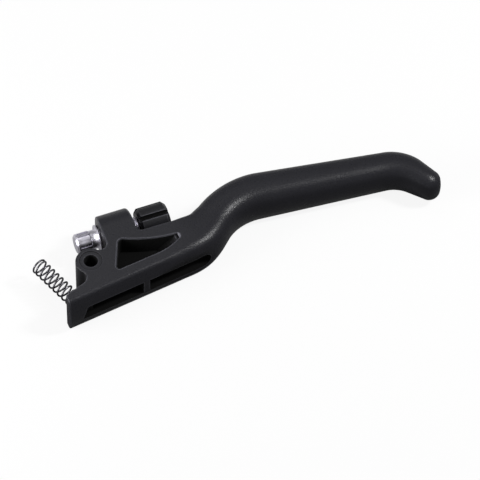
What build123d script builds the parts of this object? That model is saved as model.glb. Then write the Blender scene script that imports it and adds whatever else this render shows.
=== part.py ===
import os
from math import asin, atan2, cos, degrees, radians, sin, sqrt

from build123d import *

# Bicycle brake lever with a reach adjuster and a return spring, in millimetres.
# The origin is the centre of the pivot bore at mid thickness. +Z runs along the pivot,
# +X along the adjuster screw towards the tip and +Y back towards the handlebar.

# Head of the lever
thickness = 14.0
pivot_bore_diameter = 4.1
pivot_lug_radius = 4.4
spot_face_diameter = 6.6
spot_face_depth = 0.15
front_angle = 7.5
crease_setback = 9.6
front_bulge = 1.7
crease_radius = 1.4
back_edge_radius = 0.8
edge_round = 0.4
head_reach = 10.6
end_face_width = 2.5
end_corner_radius = 0.8
spring_wall_angle = 20.0
valley_radius = 2.3
notch_radius = 2.0
arm_back = 5.3

# Boss of the reach adjuster
boss_start = 6.3
boss_length = 10.0
boss_root_radius = 1.5
boss_lean = 1.0
boss_lean_start = 7.0
boss_back = 17.0
screw_offset = 11.15

# Pocket in the flat sides, closed by a web at mid thickness
window_web = 1.0
window_back_left_x = 9.9
window_back_left_y = 4.5
window_front_left_x = 5.75
window_front_left_y = -5.5
window_front_bend_x = 18.5
window_front_bend_y = -3.9
window_tip_x = 26.6
window_tip_y = -0.25
window_tip_width = 1.1
window_back_sag = 0.95
window_back_radius = 1.4
window_front_radius = 0.8
window_tip_radius = 0.5
window_ramp_start = 25.4
window_ramp_length = 5.2
window_shelf_depth = 0.5
rim_round = 0.3
rim_slope = 45.0

# Slot along the convex front
slot_height = 5.0
slot_start = -7.5
slot_start_lean = 0.8
slot_start_radius = 1.0
slot_end = 33.0
slot_rib_recess = 0.3
slot_shallow_depth = 2.0
slot_depth = 3.8
slot_rib_centre = 12.2
slot_rib_width = 2.0
slot_deep_start = -4.2

# Spine of the blade: S-bend, straight finger rest, hook and tail
lead_in = 4.0
bend_start = 28.2
bend_in_radius = 15.0
bend_in_turn = 31.5
ramp_length = 3.95
bend_out_radius = 20.0
bend_out_turn = 46.1
bend_taper_length = 15.0
rest_length = 37.1
hook_radius = 10.5
hook_turn = 47.5
tail_length = 5.5

# Sections of the blade at the end of the S-bend, at the hook and at the tip
rest_depth = 11.0
rest_height = 13.0
rest_corner = 3.6
rest_front_bulge = 1.2
rest_back_bulge = 0.6
hook_depth = 8.9
hook_height = 11.2
hook_corner = 3.0
hook_front_bulge = 0.8
hook_back_bulge = 0.6
tip_depth = 6.8
tip_height = 9.6
tip_corner = 2.6
tip_bulge = 0.6

# Return spring and its seat
spring_diameter = 4.9
wire_diameter = 0.55
spring_turns = 9
coil_gap = 0.05
spring_length = 18.53
spring_angle = 111.0
seat_mouth_x = -6.92
seat_mouth_y = -7.92
seat_depth = 1.2
seat_clearance = 0.2

# Reach adjuster
screw_diameter = 5.8
screw_clearance = 0.1
sleeve_wall = 0.65
sleeve_recess = 0.3
sleeve_chamfer = 0.3
fit_gap = 0.02
cup_diameter = 6.0
cup_start = -0.8
cup_length = 4.3
cup_groove_count = 12
cup_groove_width = 0.75
cup_groove_depth = 0.35
cup_rim_width = 0.9
cup_face_chamfer = 0.5
swivel_gap = 0.15
neck_diameter = 5.6
collar_diameter = 8.0
collar_thickness = 0.5
collar_gap = 0.1
spigot_diameter = 3.2
spigot_length = 2.9
ring_groove_depth = 0.4
ring_thickness = 0.5
ring_overlap = 0.4
ring_setback = 1.0
ring_opening = 50.0
knob_diameter = 9.8
knob_length = 8.95
knob_gap = 1.9
knob_lobe_count = 6
knob_groove_width = 1.4
knob_groove_depth = 1.2
knob_chamfer = 0.8
knob_end_wall = 1.5
knob_groove_angle = 14.0
stem_diameter = 4.6

half_thickness = thickness / 2
lug_to_notch = pivot_lug_radius + notch_radius
lug_to_valley = pivot_lug_radius + valley_radius
boss_end = boss_start + boss_length
boss_round_centre = boss_back - half_thickness
tolerance = 0.01


def heading(angle):
    """Unit vector in plan at an angle from +X."""
    return Vector(cos(radians(angle)), sin(radians(angle)), 0)


def in_plan(along, behind, angle=front_angle):
    """Point at a distance along a heading and behind a line through the origin."""
    return heading(angle) * along + heading(angle + 90) * behind


def cross_plane(point, angle):
    """Plane across a heading: its x runs to the back of the lever and its y up."""
    return Plane(origin=point, x_dir=heading(angle + 90), z_dir=heading(angle))


def blade_section(plane, front, back, height, front_radius, back_radius, bulge, back_bulge):
    """Section with a convex front, a flat or convex back and rounded corners."""
    half = height / 2
    front_corner = front + bulge
    back_corner = back - back_bulge
    with BuildSketch(plane) as section:
        with BuildLine():
            ThreePointArc((front_corner, -half), (front, 0), (front_corner, half))
            Line((front_corner, half), (back_corner, half))
            if back_bulge > 0:
                ThreePointArc((back_corner, half), (back, 0), (back_corner, -half))
            else:
                Line((back_corner, half), (back_corner, -half))
            Line((back_corner, -half), (front_corner, -half))
        make_face()
        fillet(section.vertices().group_by(Axis.X)[-1], back_radius)
        fillet(section.vertices().group_by(Axis.X)[0], front_radius)
    return section.sketch


def arm_back_at(along):
    """Distance of the arm's straight back behind the line through the origin."""
    return (arm_back - along * sin(radians(front_angle))) / cos(radians(front_angle))


def on_flat_side(edge):
    """True for an edge that lies in the top or the bottom of the head."""
    box = edge.bounding_box()
    flat = box.size.Z < tolerance
    return flat and abs(abs(edge.center().Z) - half_thickness) < tolerance


def is_head_rim(edge):
    """True for an edge round the head's end, the lug, the notch or the boss's end by the cup."""
    middle = edge.center()
    return middle.X < boss_start - tolerance or 0 < middle.Y and middle.X < boss_start + boss_lean


# Places in the plan of the head
front_line = -(crease_setback + front_bulge)
front_sine = sin(radians(front_angle))
front_cosine = cos(radians(front_angle))
blade_start = bend_start - lead_in
end_along = (front_line * front_sine - head_reach) / front_cosine
end_front = in_plan(end_along, front_line)
end_crease = end_front.Y + front_bulge / front_cosine
end_back = Vector(-head_reach, end_crease + end_face_width)
notch_x = boss_start - notch_radius
notch_centre = Vector(notch_x, sqrt(lug_to_notch**2 - notch_x**2))
notch_angle = degrees(atan2(notch_centre.Y, notch_centre.X))
wall_normal = heading(spring_wall_angle + 90)
wall_setback = end_back.dot(wall_normal)
valley_height = wall_setback + valley_radius
valley_angle = spring_wall_angle + 180 - degrees(asin(valley_height / lug_to_valley))
valley_centre = heading(valley_angle) * lug_to_valley
valley_foot = valley_centre - wall_normal * valley_radius
valley_sweep = valley_angle - 90 - spring_wall_angle
boss_root = arm_back + boss_root_radius

sleeve_radius = screw_diameter / 2 + screw_clearance + sleeve_wall
seat_floor = Vector(seat_mouth_x, seat_mouth_y) - heading(spring_angle) * seat_depth


def slot_floor(depth):
    """Plane at a depth behind the front of the head, facing forwards."""
    return Plane(
        origin=in_plan(0, front_line + depth),
        x_dir=heading(front_angle),
        z_dir=heading(front_angle - 90),
    )


os.makedirs("parts", exist_ok=True)

# Boss: a block with a full round back, its end by the cup curving away behind the screw
with BuildPart() as boss_form:
    with BuildSketch():
        with BuildLine():
            cup_side = Line((boss_start, 0), (boss_start, boss_lean_start))
            lean_end = (boss_start + boss_lean, boss_back + boss_lean)
            TangentArc(cup_side @ 1, lean_end, tangent=cup_side % 1)
            Polyline(lean_end, (boss_end, lean_end[1]), (boss_end, 0), (boss_start, 0))
        make_face()
    extrude(amount=thickness, both=True)
    with BuildSketch(Plane.YZ):
        with BuildLine():
            Line((0, half_thickness), (boss_round_centre, half_thickness))
            ThreePointArc(
                (boss_round_centre, half_thickness),
                (boss_back, 0),
                (boss_round_centre, -half_thickness),
            )
            Line((boss_round_centre, -half_thickness), (0, -half_thickness))
            Line((0, -half_thickness), (0, half_thickness))
        make_face()
    extrude(amount=boss_end, mode=Mode.INTERSECT)
    knob_face = boss_form.faces().sort_by(Axis.X)[-1]
    knob_side_edges = knob_face.edges().filter_by(lambda e: e.center().Y > tolerance)
    fillet(knob_side_edges, back_edge_radius)

# Spine of the blade in plan
root_back = arm_back_at(bend_start)
root_middle = in_plan(bend_start, (front_line + root_back) / 2)
with BuildLine():
    bend_in = JernArc(root_middle, heading(front_angle), bend_in_radius, bend_in_turn)
    ramp = Line(bend_in @ 1, bend_in @ 1 + (bend_in % 1) * ramp_length)
    bend_out = JernArc(ramp @ 1, ramp % 1, bend_out_radius, -bend_out_turn)
    finger_rest = Line(bend_out @ 1, bend_out @ 1 + (bend_out % 1) * rest_length)
    hook = JernArc(finger_rest @ 1, finger_rest % 1, hook_radius, -hook_turn)
    tail = Line(hook @ 1, hook @ 1 + (hook % 1) * tail_length)

root_depth = root_back - front_line
root_size = (root_depth, thickness, crease_radius, back_edge_radius, front_bulge, 0.0)
rest_size = (rest_depth, rest_height, rest_corner, rest_corner, rest_front_bulge, rest_back_bulge)
hook_size = (hook_depth, hook_height, hook_corner, hook_corner, hook_front_bulge, hook_back_bulge)
tip_size = (tip_depth, tip_height, tip_corner, tip_corner, tip_bulge, tip_bulge)


def section_on(edge, place, sizes, next_sizes, share):
    """Section of the blade on the spine, part of the way from one size to the next."""
    depth, *shape = [a + (b - a) * share for a, b in zip(sizes, next_sizes)]
    direction = edge % place
    angle = degrees(atan2(direction.Y, direction.X))
    return blade_section(cross_plane(edge @ place, angle), -depth / 2, depth / 2, *shape)


arc_steps = 3
bend_out_start = bend_in.length + ramp_length
hook_length = hook.length + tail_length


def sections_on_arc(edge, sizes, next_sizes, share_at):
    """Sections at even steps along an arc of the spine, sized by the distance along it."""
    sections = []
    for number in range(arc_steps + 1):
        place = number / arc_steps
        share = share_at(place * edge.length)
        sections.append(section_on(edge, place, sizes, next_sizes, share))
    return sections


def bend_share(distance):
    """Share of the S-bend's change of section that is done at a distance along it."""
    step = min(distance / bend_taper_length, 1)
    return step * step * (3 - 2 * step)


def bend_out_share(distance):
    """The same share at a distance along the second arc of the S-bend."""
    return bend_share(bend_out_start + distance)


def hook_share(distance):
    """Share of the hook's taper that is done at a distance along it."""
    return (distance / hook_length) ** 2


bend_in_sections = sections_on_arc(bend_in, root_size, rest_size, bend_share)
bend_out_sections = sections_on_arc(bend_out, root_size, rest_size, bend_out_share)
hook_sections = sections_on_arc(hook, hook_size, tip_size, hook_share)
tail_end = section_on(tail, 1, hook_size, tip_size, 1)

# Window pocket of one flat side: fin-shaped, with a floor that ramps up to a shelf at the tip
with BuildPart() as window_form:
    with BuildSketch(Plane.XY.offset(window_web / 2)) as window:
        with BuildLine():
            back_left = (window_back_left_x, window_back_left_y)
            front_left = (window_front_left_x, window_front_left_y)
            front_bend = (window_front_bend_x, window_front_bend_y)
            tip_back_corner = (window_tip_x, window_tip_y + window_tip_width / 2)
            tip_front_corner = (window_tip_x, window_tip_y - window_tip_width / 2)
            SagittaArc(back_left, tip_back_corner, -window_back_sag)
            Line(tip_back_corner, tip_front_corner)
            front_edge = Line(front_left, front_bend)
            TangentArc(front_bend, tip_front_corner, tangent=front_edge % 1)
            Line(front_left, back_left)
        make_face()
        fillet(window.vertices().group_by(Axis.X)[-1], window_tip_radius)
        fillet(window.vertices().sort_by(Axis.Y)[0], window_front_radius)
        fillet(window.vertices().sort_by(Axis.Y)[-1], window_back_radius)
    extrude(amount=half_thickness - window_web / 2)
    shelf = half_thickness - window_shelf_depth
    with BuildSketch(Plane.XZ):
        with BuildLine():
            Polyline(
                (window_ramp_start - window_ramp_length, window_web / 2),
                (window_ramp_start, shelf),
                (window_tip_x, shelf),
                (window_tip_x, window_web / 2),
                close=True,
            )
        make_face()
    extrude(amount=thickness, both=True, mode=Mode.SUBTRACT)
    with BuildSketch(Plane.XY.offset(half_thickness)):
        add(window.sketch_local)
        offset(amount=rim_round)
    extrude(amount=-rim_round, taper=rim_slope)

# Lever blade: moulded in one piece
with BuildPart() as lever_blade:
    with BuildSketch() as head_plan:
        with BuildLine():
            arm_front_end = in_plan(blade_start, front_line)
            arm_back_end = in_plan(blade_start, arm_back_at(blade_start))
            root_end = (boss_end + boss_root_radius, arm_back)
            Polyline(end_front, arm_front_end, arm_back_end, root_end)
            CenterArc((boss_end + boss_root_radius, boss_root), boss_root_radius, 270, -90)
            notch_start = (boss_start, notch_centre.Y)
            Polyline((boss_end, boss_root), (boss_start + notch_radius, boss_root), notch_start)
            CenterArc(notch_centre, notch_radius, 0, notch_angle - 180)
            CenterArc((0, 0), pivot_lug_radius, notch_angle, valley_angle - notch_angle)
            CenterArc(valley_centre, valley_radius, valley_angle - 180, -valley_sweep)
            Line(valley_foot, end_back)
            Line(end_back, end_front)
        make_face()
        end_vertices = head_plan.vertices().group_by(Axis.X)[0]
        fillet(end_vertices.sort_by(Axis.Y)[-1], end_corner_radius)
    extrude(amount=thickness, both=True)
    front_profile = blade_section(
        cross_plane(in_plan(blade_start, 0), front_angle),
        front_line,
        boss_back + thickness,
        thickness,
        crease_radius,
        back_edge_radius,
        front_bulge,
        0.0,
    )
    extrude(front_profile, amount=-2 * (blade_start + head_reach), mode=Mode.INTERSECT)

    outline_edges = lever_blade.edges().filter_by(on_flat_side)
    arm_edges = outline_edges.filter_by(lambda e: e.center().X > boss_end)
    fillet(arm_edges.filter_by(lambda e: e.center().Y > 0), back_edge_radius)
    add(boss_form.part)
    outline_edges = lever_blade.edges().filter_by(on_flat_side)
    boss_rim = lever_blade.edges().sort_by_distance((boss_start + boss_lean, boss_back, 0))[0]
    fillet(outline_edges.filter_by(is_head_rim) + [boss_rim], edge_round)
    head_end = lever_blade.faces().sort_by(Axis((0, 0, 0), heading(front_angle)))[-1]
    loft(sections=[head_end] + bend_in_sections)
    loft(sections=[bend_in_sections[-1], bend_out_sections[0]], ruled=True)
    loft(sections=bend_out_sections)
    loft(sections=[bend_out_sections[-1], hook_sections[0]], ruled=True)
    loft(sections=hook_sections)
    loft(sections=[hook_sections[-1], tail_end], ruled=True)

    # Tip: the last section's back half turned about its own middle
    tip_angle = degrees(atan2((tail % 1).Y, (tail % 1).X))
    tip_back = tip_depth / 2
    tip_shoulder = tip_back - tip_bulge
    with BuildSketch(cross_plane(tail @ 1, tip_angle)) as tip_half:
        with BuildLine():
            ThreePointArc(
                (tip_shoulder, -tip_height / 2), (tip_back, 0), (tip_shoulder, tip_height / 2)
            )
            Polyline(
                (tip_shoulder, tip_height / 2),
                (0, tip_height / 2),
                (0, -tip_height / 2),
                (tip_shoulder, -tip_height / 2),
            )
        make_face()
        fillet(tip_half.vertices().group_by(Axis.X)[-1], tip_corner)
    revolve(axis=Axis(tail @ 1, (0, 0, -1)), revolution_arc=180)

    # Window pockets from both flat sides, down to the web
    add(window_form.part, mode=Mode.SUBTRACT)
    mirror(window_form.part, about=Plane.XY, mode=Mode.SUBTRACT)

    # Slot in the front: pockets either side of a rib, shallow in front of the spring's seat
    half_slot = slot_height / 2
    slot_round = slot_end - half_slot
    with BuildSketch(slot_floor(slot_rib_recess)) as slot:
        with BuildLine():
            Polyline(
                (slot_round, half_slot),
                (slot_start + slot_start_lean, half_slot),
                (slot_start - slot_start_lean, -half_slot),
                (slot_round, -half_slot),
            )
            ThreePointArc((slot_round, -half_slot), (slot_end, 0), (slot_round, half_slot))
        make_face()
        fillet(slot.vertices().sort_by(Axis.X)[1], slot_start_radius)
    extrude(amount=thickness, mode=Mode.SUBTRACT)
    with BuildSketch(slot_floor(slot_shallow_depth)) as pockets:
        add(slot.sketch_local)
        with Locations((slot_rib_centre, 0)):
            Rectangle(slot_rib_width, slot_height, mode=Mode.SUBTRACT)
    extrude(amount=thickness, mode=Mode.SUBTRACT)
    with BuildSketch(slot_floor(slot_depth)):
        add(pockets.sketch_local)
        with Locations((slot_deep_start, 0)):
            Rectangle(
                slot_end - slot_deep_start,
                slot_height,
                align=(Align.MIN, Align.CENTER),
                mode=Mode.INTERSECT,
            )
    extrude(amount=thickness, mode=Mode.SUBTRACT)

    # Pivot bore with a spot face on each side
    Cylinder(pivot_bore_diameter / 2, thickness, mode=Mode.SUBTRACT)
    with Locations((0, 0, half_thickness), (0, 0, -half_thickness)):
        Cylinder(spot_face_diameter / 2, 2 * spot_face_depth, mode=Mode.SUBTRACT)

    # Bore for the threaded sleeve
    with BuildSketch(Plane.YZ.offset(boss_start)):
        with Locations((screw_offset, 0)):
            Circle(sleeve_radius + fit_gap)
    extrude(amount=boss_length, mode=Mode.SUBTRACT)

    # Blind seat for the return spring
    with BuildSketch(Plane(origin=seat_floor, z_dir=heading(spring_angle))):
        Circle(spring_diameter / 2 + seat_clearance)
    extrude(amount=seat_depth + valley_radius, mode=Mode.SUBTRACT)

lever_blade.part.label = "lever_blade"
export_step(lever_blade.part, "parts/lever_blade.step")

# Threaded sleeve moulded into the boss
with BuildPart() as threaded_sleeve:
    with BuildSketch(Plane.YZ.offset(boss_start + boss_lean)):
        with Locations((screw_offset, 0)):
            Circle(sleeve_radius)
            Circle(screw_diameter / 2 + screw_clearance, mode=Mode.SUBTRACT)
    extrude(amount=boss_length - boss_lean - sleeve_recess)
    chamfer(threaded_sleeve.edges().filter_by(GeomType.CIRCLE), sleeve_chamfer)

threaded_sleeve.part.label = "threaded_sleeve"
export_step(threaded_sleeve.part, "parts/threaded_sleeve.step")

# Adjuster screw, turned about its own axis: x of the sketch runs along the screw
collar_end = boss_start - collar_gap
collar_start = collar_end - collar_thickness
neck_start = cup_start + cup_length + swivel_gap
spigot_start = neck_start - spigot_length
knob_start = boss_end + knob_gap
stem_end = knob_start + knob_length - knob_end_wall
ring_start = spigot_start + ring_setback
ring_end = ring_start + ring_thickness
screw_plane = Plane(origin=(0, screw_offset, 0), x_dir=(1, 0, 0), z_dir=(0, 0, 1))
screw_axis = Axis((0, screw_offset, 0), (1, 0, 0))
with BuildPart() as adjuster_screw:
    with BuildSketch(screw_plane):
        with BuildLine():
            Polyline(
                (spigot_start, 0),
                (spigot_start, spigot_diameter / 2),
                (ring_start - fit_gap, spigot_diameter / 2),
                (ring_start - fit_gap, spigot_diameter / 2 - ring_groove_depth),
                (ring_end + fit_gap, spigot_diameter / 2 - ring_groove_depth),
                (ring_end + fit_gap, spigot_diameter / 2),
                (neck_start, spigot_diameter / 2),
                (neck_start, neck_diameter / 2),
                (collar_start, neck_diameter / 2),
                (collar_start, collar_diameter / 2),
                (collar_end, collar_diameter / 2),
                (collar_end, screw_diameter / 2),
                (knob_start, screw_diameter / 2),
                (knob_start, stem_diameter / 2),
                (stem_end, stem_diameter / 2),
                (stem_end, 0),
                close=True,
            )
        make_face()
    revolve(axis=screw_axis)

adjuster_screw.part.label = "adjuster_screw"
export_step(adjuster_screw.part, "parts/adjuster_screw.step")

# Snap ring in the spigot's groove
with BuildPart() as snap_ring:
    ring_inside = spigot_diameter / 2 - ring_groove_depth + fit_gap
    ring_outside = spigot_diameter / 2 + ring_overlap
    with BuildSketch(screw_plane):
        with BuildLine():
            Polyline(
                (ring_start, ring_inside),
                (ring_end, ring_inside),
                (ring_end, ring_outside),
                (ring_start, ring_outside),
                close=True,
            )
        make_face()
    revolve(axis=screw_axis, revolution_arc=360 - ring_opening)

snap_ring.part.label = "snap_ring"
export_step(snap_ring.part, "parts/snap_ring.step")

# Thrust cup: it swivels on the spigot, with an inner groove that clears the snap ring
cup_end = cup_start + cup_length
bore_radius = spigot_diameter / 2 + swivel_gap
with BuildPart() as thrust_cup:
    with BuildSketch(screw_plane):
        with BuildLine():
            Polyline(
                (cup_start, 0),
                (cup_start, cup_diameter / 2 - cup_face_chamfer),
                (cup_start + cup_face_chamfer, cup_diameter / 2),
                (cup_end, cup_diameter / 2),
                (cup_end, bore_radius),
                (ring_end + swivel_gap, bore_radius),
                (ring_end + swivel_gap, ring_outside + swivel_gap),
                (ring_start - swivel_gap, ring_outside + swivel_gap),
                (ring_start - swivel_gap, bore_radius),
                (spigot_start - swivel_gap, bore_radius),
                (spigot_start - swivel_gap, 0),
                close=True,
            )
        make_face()
    revolve(axis=screw_axis)
    with BuildSketch(Plane.YZ.offset(cup_start + cup_rim_width)):
        with Locations((screw_offset, 0)), PolarLocations(cup_diameter / 2, cup_groove_count):
            Rectangle(2 * cup_groove_depth, cup_groove_width)
    extrude(amount=cup_length, mode=Mode.SUBTRACT)

thrust_cup.part.label = "thrust_cup"
export_step(thrust_cup.part, "parts/thrust_cup.step")

# Adjuster knob: a lobed grip pressed on the screw's stem
with BuildPart() as adjuster_knob:
    with BuildSketch(Plane(origin=(knob_start, screw_offset, 0), z_dir=(1, 0, 0))):
        Circle(knob_diameter / 2)
    extrude(amount=knob_length)
    chamfer(adjuster_knob.edges().filter_by(GeomType.CIRCLE), knob_chamfer)
    with BuildSketch(Plane(origin=(knob_start, screw_offset, 0), z_dir=(1, 0, 0))):
        with PolarLocations(knob_diameter / 2, knob_lobe_count, start_angle=knob_groove_angle):
            SlotOverall(2 * knob_groove_depth, knob_groove_width)
    extrude(amount=knob_length, mode=Mode.SUBTRACT)
    with BuildSketch(Plane(origin=(knob_start, screw_offset, 0), z_dir=(1, 0, 0))):
        Circle(stem_diameter / 2 + fit_gap)
    extrude(amount=stem_end - knob_start + fit_gap, mode=Mode.SUBTRACT)

adjuster_knob.part.label = "adjuster_knob"
export_step(adjuster_knob.part, "parts/adjuster_knob.step")

# Return spring: a round wire with a closed coil at each end
coil_radius = (spring_diameter - wire_diameter) / 2
closed_pitch = wire_diameter + coil_gap
open_height = spring_length - wire_diameter - 2 * closed_pitch
spring_axis = heading(spring_angle)
coil_start = seat_floor + spring_axis * (wire_diameter / 2)
open_start = coil_start + spring_axis * closed_pitch
open_end = open_start + spring_axis * open_height
with BuildPart() as return_spring:
    with BuildLine() as wire_path:
        lower_coil = Helix(closed_pitch, closed_pitch, coil_radius, coil_start, spring_axis)
        Helix(open_height / spring_turns, open_height, coil_radius, open_start, spring_axis)
        Helix(closed_pitch, closed_pitch, coil_radius, open_end, spring_axis)
    with BuildSketch(Plane(origin=lower_coil @ 0, z_dir=lower_coil % 0)):
        Circle(wire_diameter / 2)
    sweep(path=wire_path.wires()[0], is_frenet=True, transition=Transition.TRANSFORMED)

return_spring.part.label = "return_spring"
export_step(return_spring.part, "parts/return_spring.step")
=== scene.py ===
"""Looks of the bicycle brake lever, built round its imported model.

Blender's lengths are metres. Sizes named here are millimetres, unless their heading says otherwise.
"""

import math

import bpy
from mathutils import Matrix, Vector


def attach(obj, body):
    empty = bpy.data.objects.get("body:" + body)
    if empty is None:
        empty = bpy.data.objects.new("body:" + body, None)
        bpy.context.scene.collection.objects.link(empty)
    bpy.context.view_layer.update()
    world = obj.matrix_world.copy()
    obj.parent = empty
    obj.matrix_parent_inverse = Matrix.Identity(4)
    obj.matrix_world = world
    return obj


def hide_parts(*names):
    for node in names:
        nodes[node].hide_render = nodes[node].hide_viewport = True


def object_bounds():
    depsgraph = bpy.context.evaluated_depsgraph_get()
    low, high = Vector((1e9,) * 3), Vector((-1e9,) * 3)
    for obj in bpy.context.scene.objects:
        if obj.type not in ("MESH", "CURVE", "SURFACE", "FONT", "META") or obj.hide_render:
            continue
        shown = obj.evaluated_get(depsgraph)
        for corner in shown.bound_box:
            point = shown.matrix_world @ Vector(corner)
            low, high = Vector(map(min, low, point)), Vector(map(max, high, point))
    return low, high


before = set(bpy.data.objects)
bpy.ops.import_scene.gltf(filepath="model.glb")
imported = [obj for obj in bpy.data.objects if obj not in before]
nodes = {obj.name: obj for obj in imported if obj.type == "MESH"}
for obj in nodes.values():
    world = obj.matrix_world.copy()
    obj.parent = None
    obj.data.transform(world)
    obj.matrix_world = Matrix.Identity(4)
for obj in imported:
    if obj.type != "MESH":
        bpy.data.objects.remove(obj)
cad_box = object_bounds()

MM = 0.001

# Framing of the photograph
IMAGE_PIXELS = 480
PIXELS_PER_MM = 3.5
VIEW_AZIMUTH = math.radians(-20.4)
VIEW_ELEVATION = math.radians(55.5)
VIEW_CENTRE = Vector((43.87, -3.59, 0.0)) * MM
LENS_MM = 500
SENSOR_MM = 36

# Nearest and farthest that the camera sees, in metres
CLIP_START = 0.1
CLIP_END = 20.0

# Adjuster screw: places along the screw and radii
SCREW_OFFSET = 11.15
SPIGOT_START = 0.75
NECK_START = 3.65
COLLAR_START = 5.7
COLLAR_END = 6.2
KNOB_START = 18.2
STEM_END = 25.65
SPIGOT_RADIUS = 1.6
NECK_RADIUS = 2.8
COLLAR_RADIUS = 4.0
THREAD_RADIUS = 2.9
STEM_RADIUS = 2.3
CORNER_ROUND = 0.12

# Its thread, with the share of the pitch that its flat crest and its flat root each take
THREAD_DEPTH = 0.42
THREAD_PITCH = 0.75
THREAD_FLAT = 0.15
STEPS_PER_PITCH = 10
STEPS_PER_TURN = 72

# Floor of paper: half its side in metres, its colour, and what colour and glow the camera sees
FLOOR_REACH = 6.0
PAPER_COLOUR = "#7a7a7a"
SEEN_PAPER_COLOUR = "#f4f4f4"
SEEN_GLOW = 0.88

# Paper behind the lever that shines in its reflections: from where to where along Y, and how much
SHINE_START = -5.0
SHINE_FULL = 30.0
SHINE = 0.55

# Evenly white surroundings, as a share of full white
SURROUND_LEVEL = 0.28

# Softboxes: aim, direction to the lamp, distance and size in metres, and light on a white surface
HEAD = (0.0, 0.0, 7.0)
BEND = (36.0, -2.0, 6.0)
SOFTBOXES = {
    # Wide and weak, from above
    "top_softbox": (BEND, (-0.1, 0.1, 1.0), 0.6, (0.7, 0.5), 0.05),
    # Lifts the lug and the boss
    "head_softbox": (HEAD, (0.05, 0.5, 0.85), 0.25, (0.12, 0.12), 0.07),
    # Shines on the cup and the head's end face
    "left_softbox": (HEAD, (-0.9, 0.05, 0.42), 0.25, (0.15, 0.15), 0.8),
    # Small, for the speckled highlight along the S-bend
    "key_softbox": (BEND, (0.6, -0.2, 0.77), 0.5, (0.05, 0.1), 0.65),
}

# Sockets of a Mix node, which gives several the same name
SHARE = 0
FIRST_VALUE = 2
SECOND_VALUE = 3
FIRST_COLOUR = 6
SECOND_COLOUR = 7
MIXED_VALUE = 0
MIXED_COLOUR = 2

WHITE = "#ffffff"

# Span that nearly all of a noise pattern's values lie in
NOISE_LOW = 0.3
NOISE_HIGH = 0.7


def linear(hex_colour):
    """Linear colour, with alpha, of an sRGB hex value. The constants are the sRGB standard's."""
    toe_end = 0.04045
    toe_slope = 12.92
    offset = 0.055
    power = 2.4
    channels = [int(hex_colour[place : place + 2], 16) / 255 for place in (1, 3, 5)]
    levels = [
        ((level + offset) / (1 + offset)) ** power if level > toe_end else level / toe_slope
        for level in channels
    ]
    return (*levels, 1.0)


def add_node(tree, kind, settings=None, links=None):
    """Adds a node, sets its inputs and properties and links other nodes' outputs to it."""
    node = tree.nodes.new(kind)
    for name, value in (settings or {}).items():
        if isinstance(name, int) or name in node.inputs:
            node.inputs[name].default_value = value
        else:
            setattr(node, name, value)
    for name, output in (links or {}).items():
        tree.links.new(output, node.inputs[name])
    return node


def new_material(name):
    """Empty node material and its tree."""
    material = bpy.data.materials.new(name)
    material.use_nodes = True
    material.node_tree.nodes.clear()
    return material, material.node_tree


def rounded_corners(tree, place, corners_mm):
    """Normal that rounds the corners, by one radius on the head and by another on the grip."""
    along_blade = (1.0, -1.0, 0.0)
    head_end_mm = 26.0
    grip_start_mm = 33.0
    bevel_samples = 64
    reach = add_node(
        tree,
        "ShaderNodeVectorMath",
        {"operation": "DOT_PRODUCT", 1: along_blade},
        {0: place},
    )
    radius = add_node(
        tree,
        "ShaderNodeMapRange",
        {
            "From Min": head_end_mm * MM,
            "From Max": grip_start_mm * MM,
            "To Min": corners_mm[0] * MM,
            "To Max": corners_mm[1] * MM,
        },
        {"Value": reach.outputs["Value"]},
    )
    rounded = add_node(
        tree, "ShaderNodeBevel", {"samples": bevel_samples}, {"Radius": radius.outputs["Result"]}
    )
    return rounded.outputs["Normal"]


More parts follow.
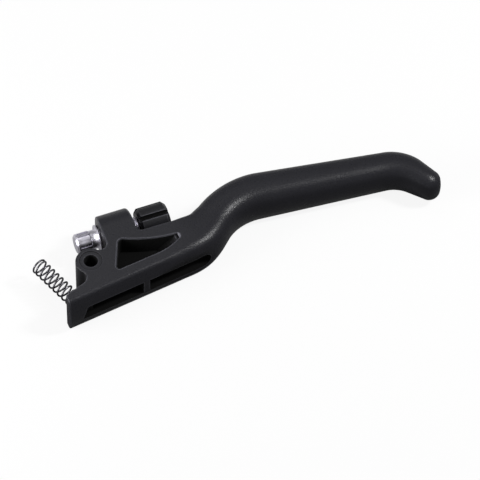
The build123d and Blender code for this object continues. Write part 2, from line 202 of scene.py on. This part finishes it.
def painted_rim_highlight(tree, coordinates):
    """Share of painted highlight at a place, a pale colour that stands in for light glinting on
    the rims: most along the rims of the two flat sides, little on other edges, and next to none
    round the pivot."""
    rim_mm = 0.4
    rim_samples = 8
    solid_depth = 0.95
    thin_depth = 0.75
    brightest_rim_highlight = 0.75
    lug_mm = 4.5
    lug_clear_mm = 6.0
    lug_share = 0.1
    upright_slope = 0.25
    flat_slope = 0.5
    other_edges_share = 0.15
    depth_below = add_node(
        tree,
        "ShaderNodeAmbientOcclusion",
        {"samples": rim_samples, "inside": True, "only_local": True, "Distance": rim_mm * MM},
    )
    rim_highlight = add_node(
        tree,
        "ShaderNodeMapRange",
        {"From Min": solid_depth, "From Max": thin_depth, "To Min": 0.0, "To Max": brightest_rim_highlight},
        {"Value": depth_below.outputs["AO"]},
    )
    in_plan = add_node(
        tree,
        "ShaderNodeVectorMath",
        {"operation": "MULTIPLY", 1: (1.0, 1.0, 0.0)},
        {0: coordinates.outputs["Object"]},
    )
    off_pivot = add_node(
        tree, "ShaderNodeVectorMath", {"operation": "LENGTH"}, {0: in_plan.outputs["Vector"]}
    )
    off_lug = add_node(
        tree,
        "ShaderNodeMapRange",
        {
            "From Min": lug_mm * MM,
            "From Max": lug_clear_mm * MM,
            "To Min": lug_share,
            "To Max": 1.0,
        },
        {"Value": off_pivot.outputs["Value"]},
    )
    facing_up = add_node(
        tree,
        "ShaderNodeVectorMath",
        {"operation": "DOT_PRODUCT", 1: (0.0, 0.0, 1.0)},
        {0: coordinates.outputs["Normal"]},
    )
    facing_either_way = add_node(
        tree, "ShaderNodeMath", {"operation": "ABSOLUTE"}, {0: facing_up.outputs["Value"]}
    )
    on_flat_side = add_node(
        tree,
        "ShaderNodeMapRange",
        {
            "From Min": upright_slope,
            "From Max": flat_slope,
            "To Min": other_edges_share,
            "To Max": 1.0,
        },
        {"Value": facing_either_way.outputs[0]},
    )
    highlighted_place = add_node(
        tree,
        "ShaderNodeMath",
        {"operation": "MULTIPLY"},
        {0: off_lug.outputs["Result"], 1: on_flat_side.outputs["Result"]},
    )
    rim_highlight_share = add_node(
        tree,
        "ShaderNodeMath",
        {"operation": "MULTIPLY"},
        {0: rim_highlight.outputs["Result"], 1: highlighted_place.outputs[0]},
    )
    return rim_highlight_share.outputs[0]


def pocket_depth(tree):
    """Share of a place's depth in a pocket, 0 in the open and 1 where walls stand close round it;
    it darkens the pockets' colour as painted shade and makes them dull.
    """
    pocket_mm = 12.0
    pocket_samples = 8
    open_view = 0.92
    closed_view = 0.64
    openness = add_node(
        tree,
        "ShaderNodeAmbientOcclusion",
        {"samples": pocket_samples, "only_local": True, "Distance": pocket_mm * MM},
    )
    depth = add_node(
        tree,
        "ShaderNodeMapRange",
        {"From Min": open_view, "From Max": closed_view, "To Min": 0.0, "To Max": 1.0},
        {"Value": openness.outputs["AO"]},
    )
    return depth.outputs["Result"]


def moulded_plastic(name, colours, roughness, grain_mm, bump_mm, specular, corners_mm):
    """Plastic from a spark-eroded mould. Its grain breaks every highlight into specks, the fibres
    under the skin leave faint cloudy patches, the rims carry a painted highlight in a pale colour,
    and the pockets are dull and carry painted shade, nearly black. Real grain is about 0.1 mm wide;
    it is drawn three or four times as wide, so that its specks show."""
    skin, cloud, rim_highlight_colour, pocket_shade = colours
    patch_mm = 5.0
    patch_detail = 4.0
    grain_detail = 2.0
    grain_falloff = 0.6
    pocket_roughness = 1.0
    plastic_ior = 1.53
    material, tree = new_material(name)
    coordinates = add_node(tree, "ShaderNodeTexCoord")
    place = coordinates.outputs["Object"]
    rim_highlight = painted_rim_highlight(tree, coordinates)
    depth = pocket_depth(tree)
    patches = add_node(
        tree,
        "ShaderNodeTexNoise",
        {"Scale": 1 / (patch_mm * MM), "Detail": patch_detail},
        {"Vector": place},
    )
    grain = add_node(
        tree,
        "ShaderNodeTexNoise",
        {"Scale": 1 / (grain_mm * MM), "Detail": grain_detail, "Roughness": grain_falloff},
        {"Vector": place},
    )
    clouded = add_node(
        tree,
        "ShaderNodeMix",
        {"data_type": "RGBA", FIRST_COLOUR: linear(skin), SECOND_COLOUR: linear(cloud)},
        {SHARE: patches.outputs["Fac"]},
    )
    # Painted highlight: the rims' colour is mixed towards a pale grey that stands in for light
    # glinting on them
    rim_highlighted = add_node(
        tree,
        "ShaderNodeMix",
        {"data_type": "RGBA", SECOND_COLOUR: linear(rim_highlight_colour)},
        {SHARE: rim_highlight, FIRST_COLOUR: clouded.outputs[MIXED_COLOUR]},
    )
    # Painted shade: the pockets' colour is darkened towards black by their depth
    colour = add_node(
        tree,
        "ShaderNodeMix",
        {"data_type": "RGBA", SECOND_COLOUR: linear(pocket_shade)},
        {SHARE: depth, FIRST_COLOUR: rim_highlighted.outputs[MIXED_COLOUR]},
    )
    grain_roughness = add_node(
        tree,
        "ShaderNodeMapRange",
        {
            "From Min": NOISE_LOW,
            "From Max": NOISE_HIGH,
            "To Min": roughness[0],
            "To Max": roughness[1],
        },
        {"Value": grain.outputs["Fac"]},
    )
    finish = add_node(
        tree,
        "ShaderNodeMix",
        {"data_type": "FLOAT", SECOND_VALUE: pocket_roughness},
        {SHARE: depth, FIRST_VALUE: grain_roughness.outputs["Result"]},
    )
    bump = add_node(
        tree,
        "ShaderNodeBump",
        {"Strength": 1.0, "Distance": bump_mm * MM},
        {"Height": grain.outputs["Fac"], "Normal": rounded_corners(tree, place, corners_mm)},
    )
    shader = add_node(
        tree,
        "ShaderNodeBsdfPrincipled",
        {"IOR": plastic_ior, "Specular IOR Level": specular},
        {
            "Base Color": colour.outputs[MIXED_COLOUR],
            "Roughness": finish.outputs[MIXED_VALUE],
            "Normal": bump.outputs["Normal"],
        },
    )
    add_node(tree, "ShaderNodeOutputMaterial", None, {"Surface": shader.outputs["BSDF"]})
    return material


def ringed_metal(name, colours, roughness, ring_mm, bump_mm, axis):
    """Metal with faint rings across an axis, left by the tool that made it, and cloudy stains.
    Real rings are about 0.1 mm apart; they are drawn wider apart, so that they show."""
    stain_mm = 1.6
    stain_detail = 3.0
    ring_waver = 1.5
    ring_detail = 2.0
    # At a scale of 1, a wave pattern turns by this many radians over one unit of length
    wave_rate = 20
    material, tree = new_material(name)
    place = add_node(tree, "ShaderNodeTexCoord").outputs["Object"]
    stains = add_node(
        tree,
        "ShaderNodeTexNoise",
        {"Scale": 1 / (stain_mm * MM), "Detail": stain_detail},
        {"Vector": place},
    )
    rings = add_node(
        tree,
        "ShaderNodeTexWave",
        {
            "bands_direction": axis,
            "Scale": 2 * math.pi / (wave_rate * ring_mm * MM),
            "Distortion": ring_waver,
            "Detail": ring_detail,
        },
        {"Vector": place},
    )
    colour = add_node(
        tree,
        "ShaderNodeMix",
        {"data_type": "RGBA", FIRST_COLOUR: linear(colours[0]), SECOND_COLOUR: linear(colours[1])},
        {SHARE: stains.outputs["Fac"]},
    )
    stain_roughness = add_node(
        tree,
        "ShaderNodeMapRange",
        {
            "From Min": NOISE_LOW,
            "From Max": NOISE_HIGH,
            "To Min": roughness[0],
            "To Max": roughness[1],
        },
        {"Value": stains.outputs["Fac"]},
    )
    bump = add_node(
        tree,
        "ShaderNodeBump",
        {"Strength": 1.0, "Distance": bump_mm * MM},
        {"Height": rings.outputs["Fac"]},
    )
    shader = add_node(
        tree,
        "ShaderNodeBsdfPrincipled",
        {"Metallic": 1.0},
        {
            "Base Color": colour.outputs[MIXED_COLOUR],
            "Roughness": stain_roughness.outputs["Result"],
            "Normal": bump.outputs["Normal"],
        },
    )
    add_node(tree, "ShaderNodeOutputMaterial", None, {"Surface": shader.outputs["BSDF"]})
    return material


def white_paper():
    """Paper that lights the lever as grey paper would. The camera sees it nearly white, with the
    lever's shadow on it, and shiny surfaces mirror a bright stretch of it behind the lever."""
    material, tree = new_material("white_paper")
    rays = add_node(tree, "ShaderNodeLightPath")
    colour = add_node(
        tree,
        "ShaderNodeMix",
        {
            "data_type": "RGBA",
            FIRST_COLOUR: linear(PAPER_COLOUR),
            SECOND_COLOUR: linear(SEEN_PAPER_COLOUR),
        },
        {SHARE: rays.outputs["Is Camera Ray"]},
    )
    paper = add_node(
        tree,
        "ShaderNodeBsdfDiffuse",
        {"Roughness": 1.0},
        {"Color": colour.outputs[MIXED_COLOUR]},
    )
    glow = add_node(tree, "ShaderNodeEmission", {"Color": linear(WHITE), "Strength": 1.0})
    mirrored = add_node(
        tree,
        "ShaderNodeMath",
        {"operation": "MAXIMUM"},
        {0: rays.outputs["Is Glossy Ray"], 1: rays.outputs["Is Transmission Ray"]},
    )
    behind = add_node(
        tree,
        "ShaderNodeVectorMath",
        {"operation": "DOT_PRODUCT", 1: (0.0, 1.0, 0.0)},
        {0: add_node(tree, "ShaderNodeTexCoord").outputs["Object"]},
    )
    shine = add_node(
        tree,
        "ShaderNodeMapRange",
        {
            "From Min": SHINE_START * MM,
            "From Max": SHINE_FULL * MM,
            "To Min": 0.0,
            "To Max": SHINE,
        },
        {"Value": behind.outputs["Value"]},
    )
    mirrored_shine = add_node(
        tree,
        "ShaderNodeMath",
        {"operation": "MULTIPLY"},
        {0: mirrored.outputs[0], 1: shine.outputs["Result"]},
    )
    glow_share = add_node(
        tree,
        "ShaderNodeMath",
        {"operation": "MULTIPLY_ADD", 1: SEEN_GLOW},
        {0: rays.outputs["Is Camera Ray"], 2: mirrored_shine.outputs[0]},
    )
    surface = add_node(
        tree,
        "ShaderNodeMixShader",
        None,
        {0: glow_share.outputs[0], 1: paper.outputs["BSDF"], 2: glow.outputs["Emission"]},
    )
    add_node(tree, "ShaderNodeOutputMaterial", None, {"Surface": surface.outputs[0]})
    return material


def dress(piece, material):
    """Gives a piece one material."""
    piece.data.materials.clear()
    piece.data.materials.append(material)


def mesh_piece(name, vertices, faces):
    """Mesh object with smooth faces, in the scene."""
    mesh = bpy.data.meshes.new(name)
    mesh.from_pydata(vertices, [], faces)
    mesh.update()
    mesh.shade_smooth()
    piece = bpy.data.objects.new(name, mesh)
    bpy.context.scene.collection.objects.link(piece)
    return piece


def screw_profile():
    """Places along the screw, radii there, and the share of the thread's depth that is added."""
    # The middle of a round lies this share of its radius inside the two faces that it joins
    middle_share = 0.3
    round_middle = middle_share * CORNER_ROUND
    thread_root = THREAD_RADIUS - THREAD_DEPTH
    rows = [
        (SPIGOT_START, 0.0, 0.0),
        (SPIGOT_START, SPIGOT_RADIUS, 0.0),
        (NECK_START, SPIGOT_RADIUS, 0.0),
        (NECK_START, NECK_RADIUS - CORNER_ROUND, 0.0),
        (NECK_START + round_middle, NECK_RADIUS - round_middle, 0.0),
        (NECK_START + CORNER_ROUND, NECK_RADIUS, 0.0),
        (COLLAR_START, NECK_RADIUS, 0.0),
        (COLLAR_START, COLLAR_RADIUS - CORNER_ROUND, 0.0),
        (COLLAR_START + round_middle, COLLAR_RADIUS - round_middle, 0.0),
        (COLLAR_START + CORNER_ROUND, COLLAR_RADIUS, 0.0),
        (COLLAR_END - CORNER_ROUND, COLLAR_RADIUS, 0.0),
        (COLLAR_END - round_middle, COLLAR_RADIUS - round_middle, 0.0),
        (COLLAR_END, COLLAR_RADIUS - CORNER_ROUND, 0.0),
        (COLLAR_END, thread_root, 0.0),
    ]
    thread_length = KNOB_START - COLLAR_END
    count = round(thread_length / THREAD_PITCH * STEPS_PER_PITCH)
    for step in range(1, count):
        rows.append((COLLAR_END + thread_length * step / count, thread_root, 1.0))
    rows += [
        (KNOB_START, thread_root, 0.0),
        (KNOB_START, STEM_RADIUS, 0.0),
        (STEM_END, STEM_RADIUS, 0.0),
        (STEM_END, 0.0, 0.0),
    ]
    return rows


def thread_height(along, turn):
    """Height of the right-hand thread, as a share of its depth, at a place and a turn round it."""
    phase = (along / THREAD_PITCH - turn) % 1.0
    off_crest = abs(phase - 0.5) * 2
    down_flank = max(0.0, off_crest - THREAD_FLAT) / (1 - 2 * THREAD_FLAT)
    return max(0.0, 1.0 - down_flank)


def adjuster_screw_piece():
    """Turned screw whose right-hand thread winds between the collar and the knob."""
    rows = screw_profile()
    vertices = []
    for along, radius, thread_share in rows:
        for step in range(STEPS_PER_TURN):
            turn = step / STEPS_PER_TURN
            angle = 2 * math.pi * turn
            reach = radius + THREAD_DEPTH * thread_height(along, turn) * thread_share
            across = SCREW_OFFSET + reach * math.cos(angle)
            up = reach * math.sin(angle)
            vertices.append((along * MM, across * MM, up * MM))
    faces = []
    for row in range(len(rows) - 1):
        here = row * STEPS_PER_TURN
        there = here + STEPS_PER_TURN
        for step in range(STEPS_PER_TURN):
            after = (step + 1) % STEPS_PER_TURN
            faces.append((here + step, there + step, there + after, here + after))
    return mesh_piece("adjuster_screw_threaded", vertices, faces)


def softbox(name, aim, direction, distance, size, level):
    """Area light that gives a white surface facing it at its aim the stated share of full white."""
    light = bpy.data.lights.new(name, "AREA")
    light.shape = "RECTANGLE"
    light.size, light.size_y = size
    light.energy = level * math.pi**2 * distance**2
    lamp = bpy.data.objects.new(name, light)
    towards = Vector(direction).normalized()
    lamp.location = Vector(aim) * MM + towards * distance
    lamp.rotation_mode = "QUATERNION"
    lamp.rotation_quaternion = towards.to_track_quat("Z", "Y")
    bpy.context.scene.collection.objects.link(lamp)


# Materials

# Glass-filled nylon, moulded with a spark-eroded grain: near black, satin, speckled highlights
blade_nylon = moulded_plastic(
    "glass_filled_nylon_moulded",
    # Third colour: painted highlight on the rims; fourth: painted shade in the pockets
    colours=("#1d1d22", "#222227", "#84848e", "#010101"),
    roughness=(0.25, 0.42),
    grain_mm=0.4,
    bump_mm=0.07,
    specular=0.28,
    corners_mm=(0.2, 6.0),
)
# Acetal, moulded smoother than the blade: black with a soft gloss
knob_acetal = moulded_plastic(
    "acetal_moulded",
    # Third colour: painted highlight on the rims; fourth: painted shade in the pockets
    colours=("#1d1d20", "#222225", "#4c4c52", "#020202"),
    roughness=(0.3, 0.42),
    grain_mm=0.3,
    bump_mm=0.012,
    specular=0.2,
    corners_mm=(0.2, 0.2),
)
# Zinc-plated steel off the lathe: pale, slightly lilac, with rings round the screw's axis
plated_steel = ringed_metal(
    "zinc_plated_steel_turned",
    colours=("#e9e7f0", "#d6d4e0"),
    roughness=(0.25, 0.38),
    ring_mm=1.57,
    bump_mm=0.003,
    axis="X",
)
# Drawn spring wire, oiled and dark, with faint bands across the coils
spring_wire = ringed_metal(
    "spring_steel_drawn",
    colours=("#7c7b80", "#5d5c62"),
    roughness=(0.25, 0.4),
    ring_mm=0.63,
    bump_mm=0.004,
    axis="Y",
)
# Brass of the insert, off the lathe: yellow, slightly stained
sleeve_brass = ringed_metal(
    "brass_turned",
    colours=("#c9a45a", "#b08a45"),
    roughness=(0.25, 0.4),
    ring_mm=0.63,
    bump_mm=0.006,
    axis="X",
)

# Pieces

dress(nodes["lever_blade"], blade_nylon)
dress(nodes["adjuster_knob"], knob_acetal)
dress(nodes["thrust_cup"], plated_steel)
dress(nodes["adjuster_screw"], plated_steel)
dress(nodes["snap_ring"], spring_wire)
dress(nodes["return_spring"], spring_wire)
dress(nodes["threaded_sleeve"], sleeve_brass)

threaded_screw = adjuster_screw_piece()
dress(threaded_screw, plated_steel)
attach(threaded_screw, "adjuster")
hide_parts("adjuster_screw")

# Floor, light and camera

floor_height = cad_box[0].z
floor = mesh_piece(
    "floor",
    [
        (-FLOOR_REACH, -FLOOR_REACH, floor_height),
        (FLOOR_REACH, -FLOOR_REACH, floor_height),
        (FLOOR_REACH, FLOOR_REACH, floor_height),
        (-FLOOR_REACH, FLOOR_REACH, floor_height),
    ],
    [(0, 1, 2, 3)],
)
dress(floor, white_paper())

scene = bpy.context.scene
world = bpy.data.worlds.new("studio")
scene.world = world
world.use_nodes = True
world.node_tree.nodes.clear()
surround = add_node(
    world.node_tree,
    "ShaderNodeBackground",
    {"Color": linear(WHITE), "Strength": SURROUND_LEVEL},
)
add_node(
    world.node_tree,
    "ShaderNodeOutputWorld",
    None,
    {"Surface": surround.outputs["Background"]},
)

for lamp_name, lamp_setting in SOFTBOXES.items():
    softbox(lamp_name, *lamp_setting)

scene.view_settings.view_transform = "Standard"
camera = bpy.data.objects.new("camera", bpy.data.cameras.new("camera"))
scene.collection.objects.link(camera)
camera.data.lens = LENS_MM
camera.data.sensor_width = SENSOR_MM
camera.data.clip_start = CLIP_START
camera.data.clip_end = CLIP_END
field = IMAGE_PIXELS / PIXELS_PER_MM * MM
view_distance = field * LENS_MM / SENSOR_MM
view_back = Vector(
    (
        math.sin(VIEW_AZIMUTH) * math.cos(VIEW_ELEVATION),
        -math.cos(VIEW_AZIMUTH) * math.cos(VIEW_ELEVATION),
        math.sin(VIEW_ELEVATION),
    )
)
camera.location = VIEW_CENTRE + view_back * view_distance
camera.rotation_mode = "QUATERNION"
camera.rotation_quaternion = view_back.to_track_quat("Z", "Y")
scene.camera = camera
